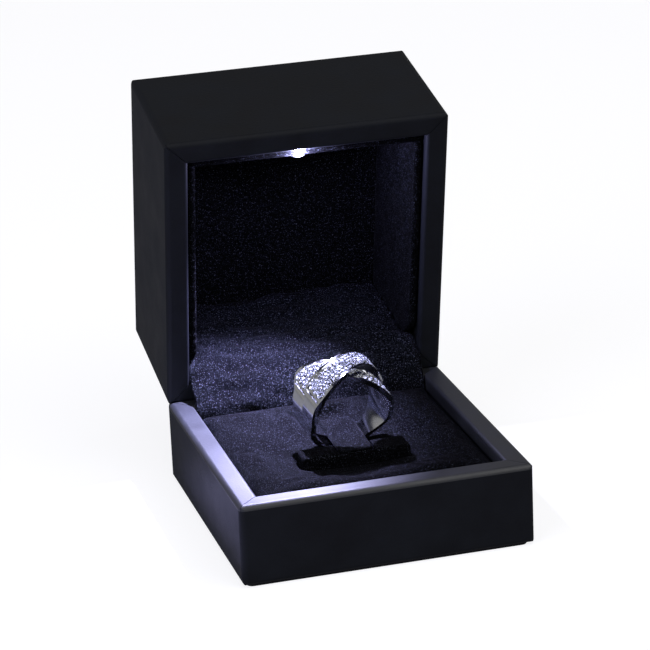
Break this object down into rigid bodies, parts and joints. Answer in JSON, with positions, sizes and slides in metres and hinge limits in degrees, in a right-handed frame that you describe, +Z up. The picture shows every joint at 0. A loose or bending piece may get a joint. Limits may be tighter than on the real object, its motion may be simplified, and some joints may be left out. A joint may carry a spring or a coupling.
{
  "type": "ring display box",
  "caption": "Square leatherette ring display box, lid swung open on a back hinge, velvet pad with a sprung tongue holding a crossed-band ring, and a small lamp in the lid.",
  "frame": {"origin": "middle of the base's bottom face", "axes": "+X across the front to the right, +Y to the back where the hinge is, +Z up"},
  "size_m": [0.063, 0.0964, 0.0874],
  "materials": {
    "leatherette": "fine-grained black leatherette, soft sheen",
    "velvet": "short-pile black velvet",
    "felt": "pressed felt",
    "moulded": "moulded black plastic",
    "board": "moulded frame, fine texture",
    "steel": "plated spring steel",
    "circuit_board": "green solder mask",
    "lamp_lens": "clear cast lens",
    "cell_steel": "pressed steel can",
    "contact_brass": "plated strip",
    "plunger_plastic": "moulded",
    "wire_sleeve": "soft sleeve",
    "ring_metal": "polished white metal",
    "ring_stone": "cut and polished"
  },
  "bodies": {
    "base": {"base_bottom": "felt", "base_cover": "leatherette", "base_tray": "moulded", "base_frame": "board", "base_rim_front": "leatherette", "base_rim_left": "leatherette", "base_rim_right": "leatherette", "base_rim_back_left": "leatherette", "base_rim_back_right": "leatherette", "pad_board": "board", "velvet_pad": "velvet", "ring_block": "velvet", "clip_bracket": "steel", "hinge_leaf_base": "steel", "hinge_rivets_base": "steel", "hinge_pin": "steel", "hinge_spring": "steel"},
    "lid": {"lid_cover": "leatherette", "lid_shell": "moulded", "lid_frame": "board", "lid_rim_front": "leatherette", "lid_rim_left": "leatherette", "lid_rim_right": "leatherette", "lid_rim_back_left": "leatherette", "lid_rim_back_right": "leatherette", "lid_roof_lining": "velvet", "lid_lining_front": "velvet", "lid_lining_back": "velvet", "lid_lining_left": "velvet", "lid_lining_right": "velvet", "hinge_leaf_lid": "steel", "hinge_rivets_lid": "steel", "hinge_cloth": "velvet", "led_board": "circuit_board", "led_lens": "lamp_lens", "led_bezel": "moulded", "battery_holder": "moulded", "coin_cells": "cell_steel", "battery_contacts": "contact_brass", "switch_body": "moulded", "lamp_wires": "wire_sleeve"},
    "switch": {"switch_plunger": "plunger_plastic"},
    "tongue": {"tongue_spring": "steel", "tongue_cover": "velvet"},
    "ring": {"ring_band": "ring_metal", "ring_stones": "ring_stone"}
  },
  "joints": [
    {"name": "lid_hinge", "type": "hinge", "parent": "base", "child": "lid", "pos_m": [0, 0.0314, 0.0183], "axis": [1, 0, 0], "range_deg": [0, 78], "deforming": ["hinge_cloth", "hinge_spring"]},
    {"name": "ring_slide", "type": "slide", "parent": "base", "child": "ring", "axis": [0, 1, 0], "range_m": [0, 0.0135]},
    {"name": "tongue_flex", "type": "hinge", "parent": "base", "child": "tongue", "pos_m": [0, -0.0089, 0.01685], "axis": [1, 0, 0], "range_deg": [0, 20], "stiffness_Nm_per_rad": 0.08},
    {"name": "switch_press", "type": "slide", "parent": "lid", "child": "switch", "axis": [0, 0.9781, 0.2079], "range_m": [0, 0.001], "stiffness_N_per_m": 50}
  ],
  "couplings": [
    {"joint": "switch_press", "follows": "lid_hinge", "m_per_rad": 0.00073449}
  ]
}
